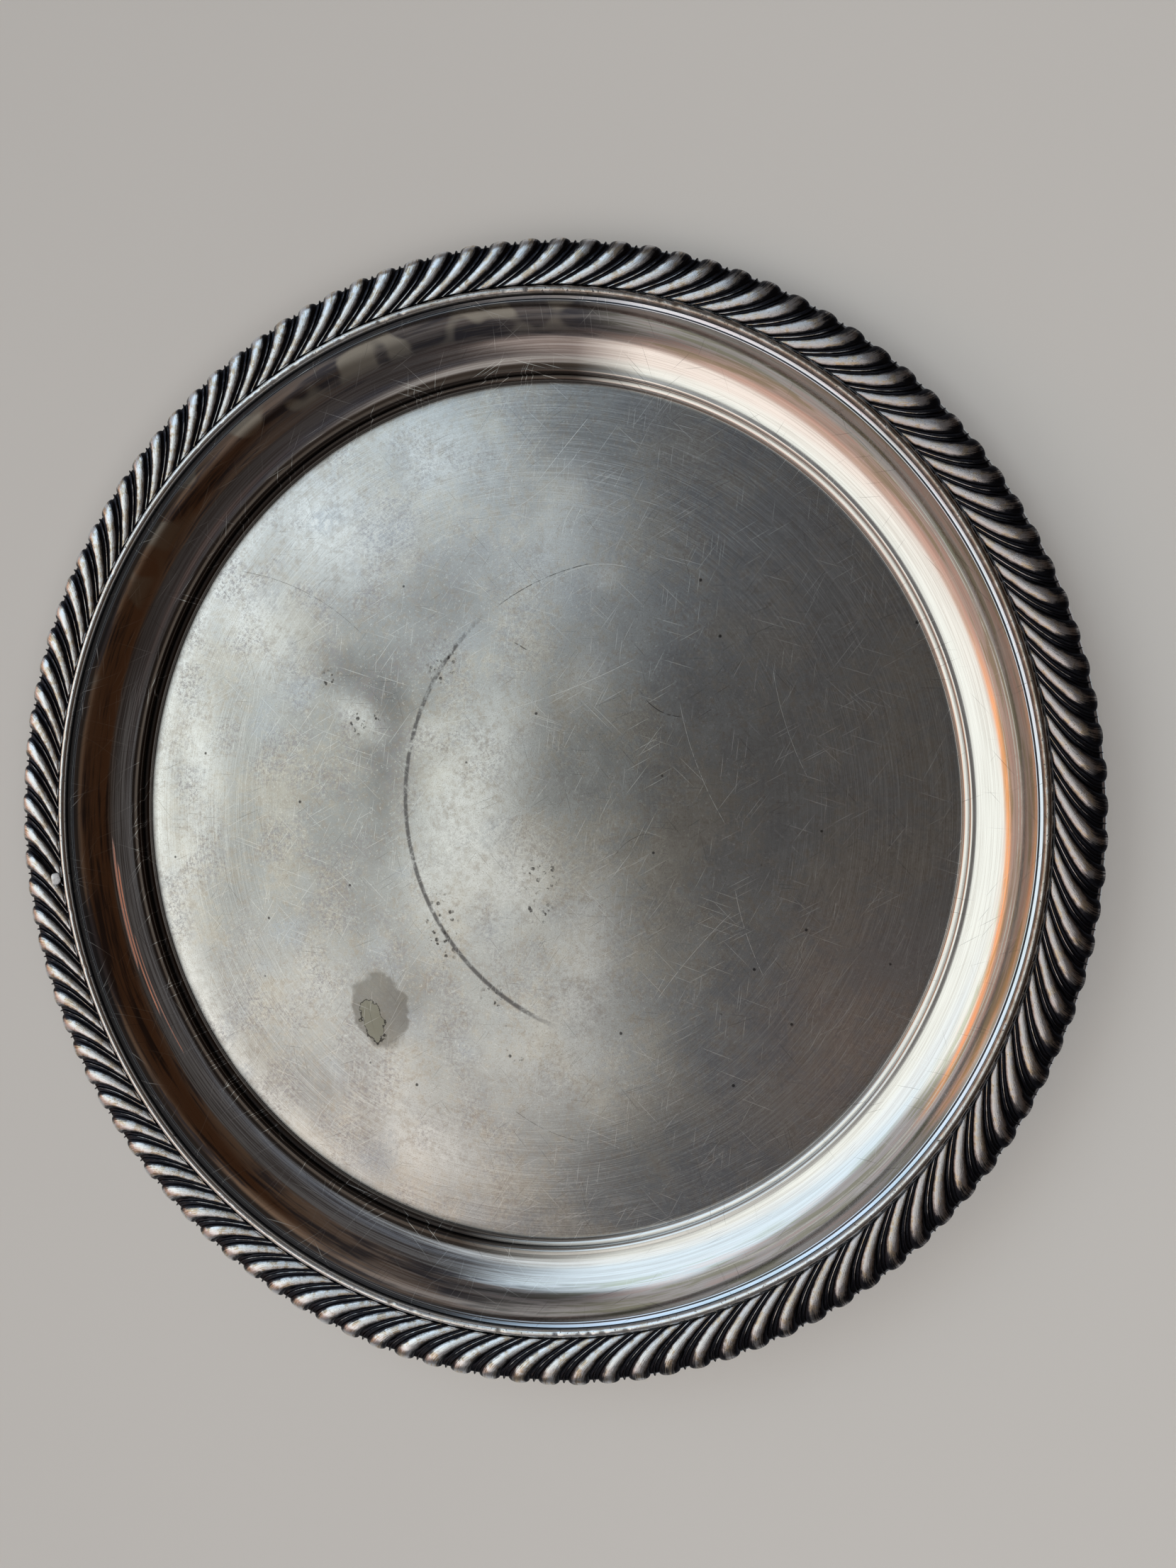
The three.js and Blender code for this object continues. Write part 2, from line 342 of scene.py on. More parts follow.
def strip_section():
    """The strip's section along a crest: (radius, height, how much it faces outwards, how much
    upwards).
    """
    crown_rise = CROWN_TOP - SEAT - WIDEST_HEIGHT
    widest = SEAT + WIDEST_HEIGHT
    rows = [(TRAY_RADIUS - FOOT_INSET, SEAT, 0.6, 0.0)]
    rows.append((TRAY_RADIUS - 0.35 * FOOT_INSET, SEAT + 0.4 * WIDEST_HEIGHT, 0.85, 0.0))
    for a in np.radians([0, 9, 18, 27, 36, 45, 54, 63, 72, 81, 90]):
        r = CROWN_RADIUS + CROWN_INSET * math.cos(a)
        z = widest + crown_rise * math.sin(a)
        rows.append((r, z, math.cos(a), math.sin(a)))
    slope_steps = 15
    for k in range(1, slope_steps + 1):
        along = k / slope_steps
        r = CROWN_RADIUS + (STRIP_INNER - CROWN_RADIUS) * along
        rows.append((r, CROWN_TOP - INNER_DROP * along**1.5, 0.0, 1.0))
    roof = SEAT + HOLLOW_HEIGHT
    rows.append((STRIP_INNER, SEAT + STRIP_LIP, 0.0, 0.0))
    rows.append((STRIP_INNER, SEAT, 0.0, 0.0))
    hollow = [
        (HOLLOW_INNER, SEAT),
        (HOLLOW_INNER, roof - HOLLOW_BEND),
        (HOLLOW_INNER + HOLLOW_BEND, roof),
        (HOLLOW_OUTER - HOLLOW_BEND, roof),
        (HOLLOW_OUTER, roof - HOLLOW_BEND),
        (HOLLOW_OUTER, SEAT),
    ]
    for r, z in hollow:
        rows.append((r, z, 0.0, 0.0))
    return np.array(rows)


def lobe_stations(u):
    """Across one pitch: (place in pitches, depth below the crest, how far down in the hollow it
    lies) for points at depth u inward. A gadroon is half an ellipse across, with a fine reed in
    the valley after it."""
    reed_half = 0.03 + 0.04 * u
    everywhere = np.ones_like(u)
    places = []
    for a in np.radians(np.linspace(180, 0, 13)):
        place = GADROON_CENTRE + GADROON_HALF * math.cos(a)
        low = 1 - math.sin(a)
        places.append((place * everywhere, low * everywhere, low * everywhere))
    before_reed = 0.5 * (GADROON_CENTRE + GADROON_HALF + REED_CENTRE - reed_half)
    places.append((before_reed, everywhere, everywhere))
    for a in np.radians(np.linspace(180, 0, 7)):
        depth = 1 - (1 - REED_TOP) * math.sin(a)
        recess = 1 - math.sin(a) * (0.55 + 0.4 * u)
        places.append((REED_CENTRE + reed_half * math.cos(a), depth * everywhere, recess))
    after_reed = 0.5 * (REED_CENTRE + reed_half + 1 + GADROON_CENTRE - GADROON_HALF)
    places.append((after_reed, everywhere, everywhere))
    return places


def gadroon_strip():
    section = strip_section()
    random = np.random.RandomState(SEED)
    r0, z0, nr, nz = section.T
    u = np.clip((TRAY_RADIUS - r0) / (TRAY_RADIUS - STRIP_INNER), 0, 1)
    relief = (RELIEF_OUTER - RELIEF_FALL * u) * MM
    first = SEAM_PITCH + SEAM_GAP / 2
    last = SEAM_PITCH + GADROONS - SEAM_GAP / 2
    stations = lobe_stations(u)
    rings = []
    facts = []
    for lobe in range(int(first), int(last) + 2):
        wobble = random.uniform(-0.012, 0.012)
        height = random.uniform(0.93, 1.07)
        shade = random.uniform(0, 1)
        for place, depth, recess in stations:
            pitches = lobe + place + wobble * (1 - depth)
            middle = float(np.mean(pitches))
            if first < middle < last:
                fall = relief * np.clip(1 - (1 - depth) * height, 0, 1)
                swept = pitches + GADROON_PHASE + GADROON_SWEEP * u**GADROON_CURL
                angle = swept / GADROONS * 2 * math.pi
                r = r0 - fall * nr
                z = z0 - fall * nz
                rings.append(np.stack([r * np.cos(angle), r * np.sin(angle), z], -1))
                across = np.mean(place) + 0 * u
                facts.append(np.stack([recess, u, across, shade + 0 * u], -1))
    grid = np.array(rings)
    facts = np.array(facts)
    steps, count = grid.shape[:2]
    faces = grid_faces(steps, count, False, True).tolist()
    faces.append(list(range(count)))
    faces.append([(steps - 1) * count + k for k in reversed(range(count))])
    piece = make_piece(
        "gadroon_strip", grid.reshape(-1, 3), faces, "gadroon_border", 75
    )
    for k, name in enumerate(["recess", "inward", "across", "shade"]):
        store(piece, name, facts[..., k])
    return piece


# ---- Bead wire ----


def bead_ring():
    """A half-round ring, with the small dents and nicks of use along it."""
    half = (bead_high.x - BEAD_INNER) / 2
    middle = BEAD_INNER + half
    shoulder = bead_high.z - half
    profile = [(BEAD_INNER, bead_low.z), (bead_high.x, bead_low.z)]
    profile += arc((middle, shoulder), half, 0, 180, 18)
    steps = BEAD_STEPS
    random = np.random.RandomState(SEED + 1)
    wear = 0.012 * MM * random.uniform(0, 1, steps)
    for _ in range(BEAD_DENTS):
        k = random.randint(steps)
        depth = random.uniform(0.05, 0.17) * MM
        wear[k] += depth
        wear[(k + 1) % steps] += depth * random.uniform(0, 0.7)
    grid = turn(profile, steps)
    roundness = np.sin(np.linspace(0, math.pi, 19))
    grid[:, 2:, 2] -= wear[:, None] * roundness[None, :]
    faces = grid_faces(steps, len(profile), True, True)
    return make_piece("bead_ring", grid.reshape(-1, 3), faces, "bead_wire")


# ---- The drop of solder that closes the strip's joint ----


def solder_drop():
    centre = (drop_low + drop_high) / 2
    angle = math.atan2(centre.y, centre.x)
    half_size = np.array(DROP_HALF_SIZE) * MM
    rows = 20
    columns = 36
    v = np.linspace(-0.5 * math.pi, 0.5 * math.pi, rows)[:, None]
    w = (np.arange(columns) * 2 * math.pi / columns)[None, :]

    def squarish(value, power):
        return np.sign(value) * np.abs(value) ** power

    x = squarish(np.cos(v), 0.6) * squarish(np.cos(w), 0.6)
    y = squarish(np.cos(v), 0.6) * squarish(np.sin(w), 0.7)
    z = squarish(np.sin(v), 0.85) + 0 * w
    x = x + 0.12 * y * y - 0.05 * np.sin(5 * y)
    grid = np.stack([x, y, z], -1) * half_size
    place = Matrix.Translation(centre) @ Matrix.Rotation(angle, 4, "Z")
    place = place @ Matrix.Rotation(math.radians(-15), 4, "Y")
    points = np.array([place @ Vector(p) for p in grid.reshape(-1, 3)])
    faces = grid_faces(rows, columns, False, True)
    return make_piece("solder_drop", points, faces, "joint_solder", 80)


# ---- Material helpers ----


class Nodes:
    """Short calls that add nodes to one tree. A value is a number, a tuple or a socket."""

    def __init__(self, tree):
        self.tree = tree

    def add(self, kind, inputs=(), **settings):
        node = self.tree.nodes.new(kind)
        for key, value in settings.items():
            setattr(node, key, value)
        for socket, value in dict(inputs).items():
            self.put(node.inputs[socket], value)
        return node

    def put(self, socket, value):
        if isinstance(value, bpy.types.NodeSocket):
            self.tree.links.new(value, socket)
        elif isinstance(value, tuple) and len(value) == 3 and socket.type == "RGBA":
            socket.default_value = (*value, 1.0)
        else:
            socket.default_value = value

    def math(self, operation, a, b=0.0):
        return self.add("ShaderNodeMath", {0: a, 1: b}, operation=operation).outputs[0]

    def times(self, *values):
        result = values[0]
        for value in values[1:]:
            result = self.math("MULTIPLY", result, value)
        return result

    def plus(self, *values):
        result = values[0]
        for value in values[1:]:
            result = self.math("ADD", result, value)
        return result

    def highest(self, *values):
        result = values[0]
        for value in values[1:]:
            result = self.math("MAXIMUM", result, value)
        return result

    def attribute(self, name):
        return self.add("ShaderNodeAttribute", attribute_name=name).outputs["Fac"]

    def position(self):
        return self.add("ShaderNodeTexCoord").outputs["Object"]

    def split(self, vector):
        return self.add("ShaderNodeSeparateXYZ", {0: vector}).outputs

    def join(self, x, y, z):
        return self.add("ShaderNodeCombineXYZ", {0: x, 1: y, 2: z}).outputs[0]

    def stretched(self, vector, turn_degrees, scale, shift=(0.0, 0.0, 0.0)):
        """The vector turned about Z, then scaled along its new axes."""
        inputs = {"Vector": vector, "Rotation": (0.0, 0.0, math.radians(turn_degrees))}
        turned = self.add("ShaderNodeMapping", inputs)
        inputs = {"Vector": turned.outputs[0], "Scale": scale, "Location": shift}
        return self.add("ShaderNodeMapping", inputs).outputs[0]

    def noise(self, vector, scale=1.0, detail=2.0, roughness=0.5):
        inputs = {"Vector": vector, "Scale": scale, "Detail": detail, "Roughness": roughness}
        return self.add("ShaderNodeTexNoise", inputs).outputs["Fac"]

    def cells(self, vector, scale):
        """How far each point is from the nearest of many scattered points."""
        inputs = {"Vector": vector, "Scale": scale}
        return self.add("ShaderNodeTexVoronoi", inputs).outputs["Distance"]

    def between(self, value, low, high, to_low=0.0, to_high=1.0):
        """A smooth step from one number to another as value goes from low to high."""
        inputs = {"Value": value, "From Min": low, "From Max": high}
        inputs.update({"To Min": to_low, "To Max": to_high})
        return self.add("ShaderNodeMapRange", inputs, interpolation_type="SMOOTHSTEP").outputs[0]

    def mix(self, factor, a, b):
        """Colour a where the factor is 0, b where it is 1."""
        inputs = {"Factor": factor, 6: a, 7: b}
        return self.add("ShaderNodeMix", inputs, data_type="RGBA").outputs[2]

    def scores(self, vector, degrees, cell, reach, shift):
        """Fine straight scratches along one direction: a long thin ellipse in each cell."""
        place = self.stretched(vector, degrees, (1 / cell[0], 1 / cell[1], 1.0), shift)
        inputs = {"Vector": place, "Scale": 1.0}
        node = self.add("ShaderNodeTexVoronoi", inputs, voronoi_dimensions="2D")
        return self.between(node.outputs["Distance"], reach, reach * 0.35)

    def wander(self, xy, scale, reach):
        """The same place pushed about by noise, so that a spot's edge isn't even."""
        flat = self.join(*xy, 0.0)
        moved = []
        for k, value in enumerate(xy):
            noise = self.noise(self.stretched(flat, 0, (1, 1, 1), (3.0 * k, 0, 0)), scale, 3.0)
            moved.append(self.plus(value, self.between(noise, 0.25, 0.75, -reach / 2, reach / 2)))
        return moved

    def stroke(self, xy, start, middle, end, width):
        """1 along the arc through three points in mm, and 0 beside it."""
        (ax, ay), (bx, by), (cx, cy) = start, middle, end
        # the circle through the three points
        double_area = 2 * (ax * (by - cy) + bx * (cy - ay) + cx * (ay - by))
        a2 = ax * ax + ay * ay
        b2 = bx * bx + by * by
        c2 = cx * cx + cy * cy
        ox = (a2 * (by - cy) + b2 * (cy - ay) + c2 * (ay - by)) / double_area
        oy = (a2 * (cx - bx) + b2 * (ax - cx) + c2 * (bx - ax)) / double_area
        size = math.hypot(ax - ox, ay - oy)
        flat = self.join(*xy, 0.0)
        centre = (ox * MM, oy * MM, 0.0)
        apart = self.add("ShaderNodeVectorMath", {0: flat, 1: centre}, operation="DISTANCE")
        miss = self.math("ABSOLUTE", self.plus(apart.outputs["Value"], -size * MM))
        line = self.between(miss, width * MM / 2, width * MM / 6)
        # how far along the arc, from 0 to 1, measured on its chord
        chord = ((cx - ax) / MM, (cy - ay) / MM, 0.0)
        length2 = (cx - ax) ** 2 + (cy - ay) ** 2
        dot = self.add("ShaderNodeVectorMath", {0: flat, 1: chord}, operation="DOT_PRODUCT")
        begin = (ax * (cx - ax) + ay * (cy - ay)) / length2
        along = self.plus(self.times(dot.outputs["Value"], 1 / length2), -begin)
        ends = self.times(self.between(along, 0.0, 0.08), self.between(along, 1.0, 0.92))
        # only the arc's own side of the chord counts
        bulge = math.copysign(1.0, (cx - ax) * (by - ay) - (cy - ay) * (bx - ax))
        normal = (-(cy - ay) * bulge, (cx - ax) * bulge, 0.0)
        side = self.add("ShaderNodeVectorMath", {0: flat, 1: normal}, operation="DOT_PRODUCT")
        level = (ax * normal[0] + ay * normal[1]) * MM
        outside = self.math("GREATER_THAN", side.outputs["Value"], level)
        return self.times(line, ends, outside)

    def spot(self, xy, centre, radii, degrees=0.0, soft=0.35):
        """1 inside an ellipse on the XY plane, fading out at its edge."""
        x, y = xy
        inputs = {0: self.join(x, y, 0.0), 1: (centre[0] * MM, centre[1] * MM, 0.0)}
        moved = self.add("ShaderNodeVectorMath", inputs, operation="SUBTRACT").outputs[0]
        scale = (1 / (radii[0] * MM), 1 / (radii[1] * MM), 0.0)
        local = self.stretched(moved, -degrees, scale)
        length = self.add("ShaderNodeVectorMath", {0: local}, operation="LENGTH")
        return self.between(length.outputs["Value"], 1 + soft, 1 - soft)


def new_metal(name):
    """A new metal material, the calls that add nodes to it, and its shader."""
    material = bpy.data.materials.new(name)
    material.use_nodes = True
    shader = material.node_tree.nodes["Principled BSDF"]
    shader.inputs["Metallic"].default_value = 1.0
    return material, Nodes(material.node_tree), shader


def finish_metal(n, shader, colour, roughness, height, distance):
    """Gives the shader its colour, roughness and relief."""
    inputs = {"Height": height, "Distance": distance, "Strength": 1.0}
    bump = n.add("ShaderNodeBump", inputs)
    n.put(shader.inputs["Base Color"], colour)
    n.put(shader.inputs["Roughness"], roughness)
    n.put(shader.inputs["Normal"], bump.outputs[0])


SILVER = (0.87, 0.86, 0.84)
COOL_SILVER = (0.80, 0.83, 0.87)
SATIN = (0.425, 0.438, 0.438)
HAZE = (0.88, 0.895, 0.885)
YELLOWED = (0.70, 0.63, 0.50)
BRASSY = (0.66, 0.52, 0.33)
DULLED = (0.16, 0.165, 0.17)
FRECKLED = (0.27, 0.255, 0.275)
BLUED = (0.42, 0.50, 0.60)
BROWNED = (0.28, 0.23, 0.19)
COPPERY = (0.55, 0.37, 0.25)
GREYED = (0.52, 0.52, 0.53)
BEIGE = (0.62, 0.58, 0.50)
OLIVE = (0.52, 0.53, 0.38)
PINKISH = (0.86, 0.68, 0.62)
BLUE_BLACK = (0.10, 0.10, 0.125)
BLACKED = (0.03, 0.027, 0.027)
INKY = (0.022, 0.024, 0.032)
SMOKED = (0.11, 0.08, 0.075)
DARK_STREAK = (0.16, 0.14, 0.135)
STEELY = (0.62, 0.65, 0.70)
BARE_COPPER = (0.85, 0.34, 0.20)
RUBBED_EDGE = (0.78, 0.80, 0.72)
DARK_STEP = (0.055, 0.04, 0.032)
BRIGHT_LEDGE = (0.62, 0.76, 0.95)
DARK_LEDGE = (0.09, 0.08, 0.07)
STAINED = (0.22, 0.21, 0.19)
STAIN_CORE = (0.25, 0.25, 0.20)
SCUFFED = (0.10, 0.097, 0.10)
DULL_CREST = (0.42, 0.385, 0.395)
SOLDER_PALE = (0.93, 0.96, 1.0)
SOLDER_GREY = (0.60, 0.60, 0.60)
FLOOR_WARM = (0.70, 0.69, 0.67)
FLOOR_PALE = (0.75, 0.74, 0.72)

# Marks on the well, in mm: an arc through three points, then its width.
FOOT_SCUFF = ((-7.4, 57.7), (-34.9, -1.5), (14.6, -61.0), 1.8)
LIGHT_STROKES = [
    ((-29, 24), (1, 29.5), (34, 42), 0.16),
    ((3, 58.5), (17, 66.8), (34, 65), 0.2),
    ((12, 76), (13, 80), (15.5, 84), 0.3),
    ((14.5, 75), (15.5, 79), (17.5, 83), 0.25),
    ((4, 90), (10, 97), (20, 108), 0.25),
    ((-2, 84), (9, 91), (18, 100), 0.18),
    ((60, -20), (63, -32), (68, -44), 0.15),
    ((38, -52), (47, -40), (60, -26), 0.15),
    ((45, 30), (50, 12), (58, -4), 0.13),
    ((70, 40), (74, 22), (80, 8), 0.13),
]
DARK_STROKES = [
    ((-89, 70.5), (-66, 63), (-48, 50), 0.16),
    ((-7.6, 56.7), (5.8, 63.9), (20.9, 67.9), 0.3),
    ((-2.2, 46.8), (-0.2, 45.7), (1.8, 44.4), 0.5),
    ((34, 33), (39, 27.5), (46, 25.5), 0.3),
    ((-3, -83), (9, -89), (24, -91), 0.16),
    ((27, -12), (31, -8), (36, -6), 0.16),
]
# Scratches all over: direction in degrees, then each cell's length and width in mm, reach.
SCORES = [
    (18, 90, 1.5, 0.08),
    (-62, 70, 1.3, 0.08),
    (128, 110, 1.8, 0.07),
    (152, 60, 1.2, 0.09),
    (44, 130, 1.7, 0.06),
    (97, 50, 1.1, 0.09),
]
# Groups of corrosion pits: middle and half sizes.
PIT_CLUSTERS = [
    ((5, -18), (5.5, 5)),
    ((5, -28), (4, 3)),
    ((-48, 25), (6, 3.5)),
    ((-59, 37.5), (3, 3)),
    ((-24, -34), (5, 10)),
    ((-8, -52), (4, 3)),
    ((-2, -68), (2.5, 2.5)),
    ((-24, 42), (4, 6)),
]
# Thin arcs round the cove: radius in mm, start and end in degrees, width in mm.
COPPER_ARCS = [(128.3, 184, 202, 0.75), (127.6, 187, 209, 0.6), (126.8, 197, 215, 0.35)]
# The arcs of this second list are painted highlights along the cove's spinning ridges towards +X.
LIGHT_ARCS = [(132.2, -74, 46, 0.4), (132.9, -60, 40, 0.32), (130.1, -30, 22, 0.25)]


def rim_arc(n, f, radius, start, end, width):
    """1 along a thin arc round the tray, fading at its two ends."""
    miss = n.math("ABSOLUTE", n.plus(f.radius, -radius * MM))
    line = n.between(miss, width * MM / 2, width * MM / 6)
    middle = math.radians(0.5 * (start + end))
    half = math.radians(0.5 * (end - start))
    facing = n.plus(n.times(f.x, math.cos(middle)), n.times(f.y, math.sin(middle)))
    low = radius * MM * math.cos(half)
    return n.times(line, n.between(facing, low, low + 0.25 * (radius * MM - low)))


def body_fields(n):
    """What the body's colour and relief are mixed from."""
    f = SimpleNamespace()
    f.place = n.position()
    f.x, f.y, f.z = n.split(f.place)
    f.xy = (f.x, f.y)
    f.radius = n.math("SQRT", n.plus(n.times(f.x, f.x), n.times(f.y, f.y)))
    f.in_well = n.between(f.radius, WELL_RADIUS + 0.5 * MM, WELL_RADIUS - 0.5 * MM)
    f.in_cove = n.between(f.radius, RIDGE_RADIUS - 1.0 * MM, RIDGE_RADIUS + 0.5 * MM)
    f.on_top = n.math("GREATER_THAN", f.z, UNDERSIDE + SHEET / 2)
    f.pale = n.times(n.attribute("pale"), f.in_well, f.on_top)
    f.dull = n.times(n.attribute("dull"), f.in_well, f.on_top)
    # The -X half is greyed and darkened: part tarnish, part painted shade.
    f.dirty_side = n.attribute("tarnished")
    f.browned = n.times(n.attribute("browned"), f.in_cove)
    f.tarnished = n.times(f.dirty_side, f.in_cove)

    f.clouds = n.noise(f.place, 32.0, 3.0, 0.55)
    f.mottle = n.noise(f.place, 110.0, 5.0, 0.62)
    f.speckle = n.noise(f.place, 520.0, 4.0, 0.65)
    f.sand = n.noise(f.place, 1250.0, 4.0, 0.75)
    f.grain = n.noise(f.place, 2600.0, 2.0, 0.6)

    # the same place unrolled: across the rim, then round it
    round_x = n.times(n.math("DIVIDE", f.x, f.radius), 6.0)
    round_y = n.times(n.math("DIVIDE", f.y, f.radius), 6.0)
    f.unrolled = n.join(n.times(f.radius, 1000.0), round_x, round_y)
    f.rings = n.noise(n.stretched(f.unrolled, 0, (2.4, 0.5, 0.5)), 1.0, 4.0, 0.6)
    f.fine_rings = n.noise(n.stretched(f.unrolled, 0, (9.0, 0.9, 0.9)), 1.0, 3.0, 0.65)
    f.bands = n.noise(n.stretched(f.unrolled, 0, (0.9, 0.8, 0.8)), 1.0, 3.0, 0.6)
    f.crease = n.times(n.attribute("dirt"), n.between(f.mottle, 0.2, 0.5, 0.7, 1.0))
    f.copper = 0.0
    # ridges gathers the painted highlight lines.
    f.ridges = 0.0
    for row in COPPER_ARCS:
        f.copper = n.highest(f.copper, rim_arc(n, f, *row))
    for row in LIGHT_ARCS:
        f.ridges = n.highest(f.ridges, rim_arc(n, f, *row))
    f.copper = n.times(f.copper, n.between(f.fine_rings, 0.35, 0.6, 0.45, 1.0))
    f.ridges = n.times(f.ridges, n.between(f.mottle, 0.35, 0.55, 0.3, 1.0))
    return f


def body_scratches(n, f):
    """Scratches that shine and scratches that have gone dark."""
    light = 0.0
    dark = 0.0
    for k, (degrees, length, width, reach) in enumerate(SCORES):
        shift = (3.1 * k, 5.7 * k, 0.0)
        cell = (length * MM, width * MM)
        line = n.scores(f.place, degrees, cell, reach, shift)
        patch = n.noise(n.stretched(f.place, degrees, (45.0, 70.0, 1.0), shift), 1.0, 2.0)
        light = n.highest(light, n.times(line, n.between(patch, 0.44, 0.6)))
        line = n.scores(f.place, degrees + 31, cell, reach * 0.8, shift)
        dark = n.highest(dark, n.times(line, n.between(patch, 0.5, 0.36)))
    light = n.times(light, 0.55)
    dark = n.times(dark, 0.5)
    whole = n.times(n.between(f.speckle, 0.3, 0.5), f.on_top)
    for row in LIGHT_STROKES:
        light = n.highest(light, n.times(n.stroke(f.xy, *row), whole))
    broken = n.times(n.between(f.speckle, 0.35, 0.55), f.on_top)
    for row in DARK_STROKES:
        dark = n.highest(dark, n.times(n.stroke(f.xy, *row), broken))
    return light, dark


def body_pits(n, f):
    """Corrosion pits: tight groups of dots, and a few strays."""
    pits = 0.0
    dots = n.times(n.between(n.cells(f.place, 620.0), 0.42, 0.3), f.on_top)
    for row in PIT_CLUSTERS:
        pits = n.highest(pits, n.spot(f.xy, *row))
    pits = n.times(pits, n.between(f.speckle, 0.47, 0.56), dots)
    stray = n.between(n.cells(f.place, 85.0), 0.05, 0.025)
    return n.highest(pits, n.times(stray, f.in_well))


def well_colour(n, f):
    """Satin silver, grained, with yellowed and freckled clouds, and lighter and darker clouds
    that are part tarnish and part painted sheen and painted shade.
    """
    yellow = n.between(n.plus(n.times(f.clouds, 0.6), n.times(f.speckle, 0.4)), 0.44, 0.6)
    well = n.mix(n.times(yellow, 0.35), SATIN, YELLOWED)
    # The darker patches are part painted shade; the lighter ones and the rim are part painted
    # sheen.
    well = n.mix(n.times(f.dull, n.between(f.mottle, 0.3, 0.6, 0.75, 1.0)), well, DULLED)
    well = n.mix(n.times(f.pale, n.between(f.speckle, 0.3, 0.6, 1.0, 0.7)), well, HAZE)

    areas = n.between(n.noise(n.stretched(f.place, 25, (1, 1, 1)), 62.0, 2.0), 0.42, 0.62)
    left = n.between(f.x, 40 * MM, -70 * MM, 0.35, 1.0)
    freckles = n.times(n.between(f.sand, 0.47, 0.6), areas, left)
    well = n.mix(n.times(freckles, 0.72), well, FRECKLED)
    blue_areas = n.between(n.noise(n.stretched(f.place, 70, (1, 1, 1)), 48.0, 2.0), 0.56, 0.68)
    blue = n.highest(n.spot(f.xy, (-40, 79), (9, 6), 0, 0.8), n.times(blue_areas, left))
    well = n.mix(n.times(blue, n.between(f.speckle, 0.35, 0.6), 0.4), well, BLUED)

    grainy = n.times(n.between(f.speckle, 0.46, 0.66), n.between(f.mottle, 0.38, 0.62, 0.3, 1))
    well = n.mix(n.times(grainy, 0.34), well, BROWNED)
    well = n.mix(n.between(f.grain, 0.5, 0.75, 0.0, 0.5), well, BROWNED)
    well = n.mix(n.between(f.sand, 0.45, 0.25, 0.0, 0.4), well, HAZE)
    outer = n.between(f.radius, 60 * MM, 100 * MM)
    well = n.mix(n.times(n.between(f.fine_rings, 0.5, 0.66), outer, 0.35), well, HAZE)
    return n.mix(n.times(n.between(f.fine_rings, 0.46, 0.34), outer, 0.3), well, BROWNED)


def cove_colour(n, f):
    """Silver in streaks of pink and olive; towards -X grey, brown and black, part tarnish and
    part painted shade.
    """
    streaks = n.between(n.plus(n.times(f.rings, 0.6), n.times(f.fine_rings, 0.4)), 0.42, 0.62)
    upper = n.between(
        n.plus(f.radius, n.times(streaks, 0.5 * MM), n.times(f.mottle, 1.0 * MM)),
        RIDGE_RADIUS + 8.0 * MM,
        RIDGE_RADIUS + 8.7 * MM,
    )
    blotch = n.between(n.plus(n.times(f.clouds, 0.3), n.times(f.bands, 0.7)), 0.46, 0.6)
    above_band = n.between(f.radius, RIDGE_RADIUS + 6 * MM, RIDGE_RADIUS + 9 * MM)
    cove = n.mix(n.times(streaks, 0.3), SILVER, BROWNED)
    cove = n.mix(n.times(n.between(f.bands, 0.5, 0.62), above_band, 0.75), cove, OLIVE)
    cove = n.mix(n.times(n.between(f.bands, 0.48, 0.38), above_band, 0.6), cove, PINKISH)

    # Towards -X the cove is painted grey and dark, darkest towards +Y: part tarnish, part painted
    # shade.
    grey = n.mix(n.between(f.rings, 0.42, 0.6), GREYED, DARK_STREAK)
    grey = n.mix(n.between(f.fine_rings, 0.52, 0.68, 0.0, 0.8), grey, STEELY)
    far_side = n.between(f.y, 20 * MM, 50 * MM)
    grey = n.mix(n.times(far_side, 0.72), grey, SMOKED)
    cove = n.mix(n.times(f.tarnished, 0.88), cove, grey)
    # The copper-brown upper band and the black band under the lip towards -X: part tarnish, part
    # painted shade.
    cove = n.mix(n.times(f.browned, upper, 0.95), cove, COPPERY)
    cove = n.mix(n.times(f.tarnished, upper, blotch, 0.85), cove, BLUE_BLACK)
    patchy = n.between(n.noise(n.stretched(f.place, 40, (1, 1, 1)), 75.0, 1.0), 0.52, 0.6)
    high = n.between(f.radius, RIDGE_RADIUS + 8 * MM, RIDGE_RADIUS + 11 * MM)
    cove = n.mix(n.times(high, patchy, f.tarnished, far_side, 0.85), cove, BEIGE)
    top_edge = n.between(f.radius, COVE_EDGE - 1.3 * MM, COVE_EDGE - 0.6 * MM)
    cove = n.mix(n.times(f.browned, top_edge, 0.94), cove, BLACKED)
    cove = n.mix(f.copper, cove, BARE_COPPER)
    return n.mix(f.ridges, cove, RUBBED_EDGE)


